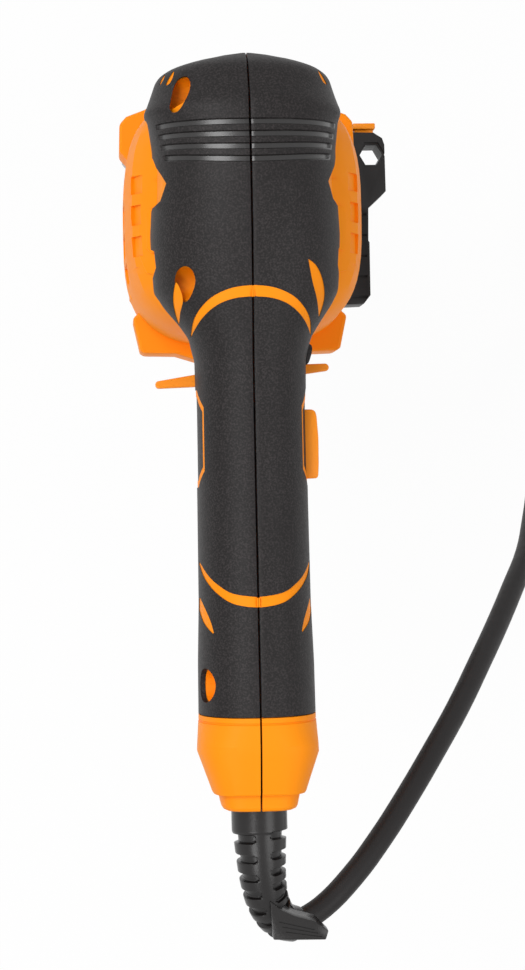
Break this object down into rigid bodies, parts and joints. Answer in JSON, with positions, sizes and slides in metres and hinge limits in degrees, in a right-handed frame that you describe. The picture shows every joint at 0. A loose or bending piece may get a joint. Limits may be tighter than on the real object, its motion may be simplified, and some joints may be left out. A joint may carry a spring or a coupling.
{
  "type": "corded hammer drill",
  "caption": "Corded pistol-grip hammer drill with keyed chuck, rubber-covered housing, auxiliary handle and mains cord with plug.",
  "frame": {"origin": "on the spindle's axis, in the middle of the free stretch of the 43 mm clamping collar", "axes": "+Z along the spindle, from the chuck towards the rear cap; the main grip hangs along -Y; +X is on the user's right when the tool points away and is seen from behind"},
  "size_m": [0.2941, 0.2896, 0.269],
  "materials": {
    "housing_orange": "moulded nylon with a fine, even grain",
    "overmould": "soft black overmould with a fine matt grain",
    "black_plastic": "matt black glass-filled nylon",
    "control_orange": "smooth satin orange plastic",
    "dark_plastic": "dark grey plastic",
    "gear_case": "die-cast, fine blasted",
    "steel": "ground steel",
    "lamination": "stacked electrical sheet",
    "copper": "enamelled copper wire",
    "brass": "drawn brass",
    "carbon": "pressed carbon",
    "cord_rubber": "black rubber sheath"
  },
  "bodies": {
    "tool": {"left_housing": "housing_orange", "right_housing": "housing_orange", "left_grip_skin": "overmould", "right_grip_skin": "overmould", "left_inlay": "overmould", "right_inlay": "overmould", "housing_screws": "steel", "gear_housing": "gear_case", "gear_housing_screws": "steel", "bearing_plate": "gear_case", "stator_core": "lamination", "stator_windings": "copper", "front_motor_bearing": "steel", "rear_motor_bearing": "steel", "rear_bearing_sleeve": "overmould", "brush_holders": "brass", "carbon_brushes": "carbon", "brush_springs": "steel", "spindle_bearing": "steel", "spindle_rear_bush": "brass", "fixed_ratchet": "steel", "release_spring": "steel", "switch_body": "dark_plastic", "trigger_spring": "steel", "cord_sleeve": "overmould", "inner_lead": "cord_rubber", "cord_clamp": "gear_case", "cord_clamp_screws": "steel", "lead_wires": "copper", "mains_cord": "cord_rubber", "cord_coil": "cord_rubber", "cord_tail": "cord_rubber", "cord_tie": "black_plastic", "plug": "black_plastic", "plug_pins": "brass"},
    "spindle": {"spindle": "steel", "spindle_gear": "steel", "rotating_ratchet": "steel", "chuck_body": "steel", "chuck_screw": "steel"},
    "chuck_sleeve": {"chuck_sleeve": "steel"},
    "jaw_1": {"chuck_jaw_1": "steel"},
    "jaw_2": {"chuck_jaw_2": "steel"},
    "jaw_3": {"chuck_jaw_3": "steel"},
    "armature": {"armature_shaft": "steel", "armature_core": "lamination", "armature_windings": "copper", "commutator": "copper", "fan": "black_plastic"},
    "trigger": {"trigger": "control_orange"},
    "speed_dial": {"speed_dial": "black_plastic"},
    "lock_button": {"lock_button": "control_orange"},
    "direction_lever": {"direction_lever": "control_orange"},
    "mode_selector": {"mode_selector": "black_plastic"},
    "side_handle": {"handle_bracket": "black_plastic", "clamp_band": "steel", "clamp_bolt": "steel"},
    "side_grip": {"side_grip": "overmould"},
    "depth_stop_button": {"depth_stop_button": "control_orange"}
  },
  "joints": [
    {"name": "spindle_spin", "type": "hinge", "parent": "tool", "child": "spindle", "pos_m": [0, 0, 0], "axis": [0, 0, 1], "continuous": true},
    {"name": "armature_spin", "type": "hinge", "parent": "tool", "child": "armature", "pos_m": [0, -0.0189, 0], "axis": [0, 0, 1], "continuous": true},
    {"name": "chuck_sleeve_turn", "type": "hinge", "parent": "spindle", "child": "chuck_sleeve", "pos_m": [0, 0, 0], "axis": [0, 0, 1], "range_deg": [0, 2390]},
    {"name": "jaw_1_slide", "type": "slide", "parent": "spindle", "child": "jaw_1", "axis": [0.2924, 0, 0.9563], "range_m": [0, 0.02]},
    {"name": "jaw_2_slide", "type": "slide", "parent": "spindle", "child": "jaw_2", "axis": [-0.1462, 0.2532, 0.9563], "range_m": [0, 0.02]},
    {"name": "jaw_3_slide", "type": "slide", "parent": "spindle", "child": "jaw_3", "axis": [-0.1462, -0.2532, 0.9563], "range_m": [0, 0.02]},
    {"name": "trigger_pull", "type": "slide", "parent": "tool", "child": "trigger", "axis": [0, 0, 1], "range_m": [0, 0.0045], "stiffness_N_per_m": 500, "springref_m": -0.004, "deforming": ["trigger_spring"]},
    {"name": "speed_dial_turn", "type": "hinge", "parent": "trigger", "child": "speed_dial", "pos_m": [0, -0.079, 0.121], "axis": [1, 0, 0], "range_deg": [0, 270]},
    {"name": "lock_button_press", "type": "slide", "parent": "tool", "child": "lock_button", "axis": [-1, 0, 0], "range_m": [0, 0.0025], "stiffness_N_per_m": 400, "springref_m": -0.002},
    {"name": "direction_lever_swing", "type": "hinge", "parent": "tool", "child": "direction_lever", "pos_m": [0, -0.097, 0.144], "axis": [0, 0, 1], "range_deg": [-13, 0]},
    {"name": "mode_select", "type": "slide", "parent": "tool", "child": "mode_selector", "axis": [1, 0, 0], "range_m": [0, 0.008]},
    {"name": "side_handle_swing", "type": "hinge", "parent": "tool", "child": "side_handle", "pos_m": [0, 0, 0.0195], "axis": [0, 0, 1], "continuous": true},
    {"name": "side_grip_twist", "type": "hinge", "parent": "side_handle", "child": "side_grip", "pos_m": [0, 0, 0.0195], "axis": [0.075, -0.9972, 0], "range_deg": [-720, 0]},
    {"name": "depth_stop_press", "type": "slide", "parent": "side_handle", "child": "depth_stop_button", "axis": [0, -1, 0], "range_m": [0, 0.0016], "stiffness_N_per_m": 300, "springref_m": -0.002}
  ],
  "couplings": [
    {"joint": "armature_spin", "follows": "spindle_spin", "ratio": -6},
    {"joint": "jaw_1_slide", "follows": "chuck_sleeve_turn", "m_per_rad": 0.00047746},
    {"joint": "jaw_2_slide", "follows": "chuck_sleeve_turn", "m_per_rad": 0.00047746},
    {"joint": "jaw_3_slide", "follows": "chuck_sleeve_turn", "m_per_rad": 0.00047746}
  ]
}
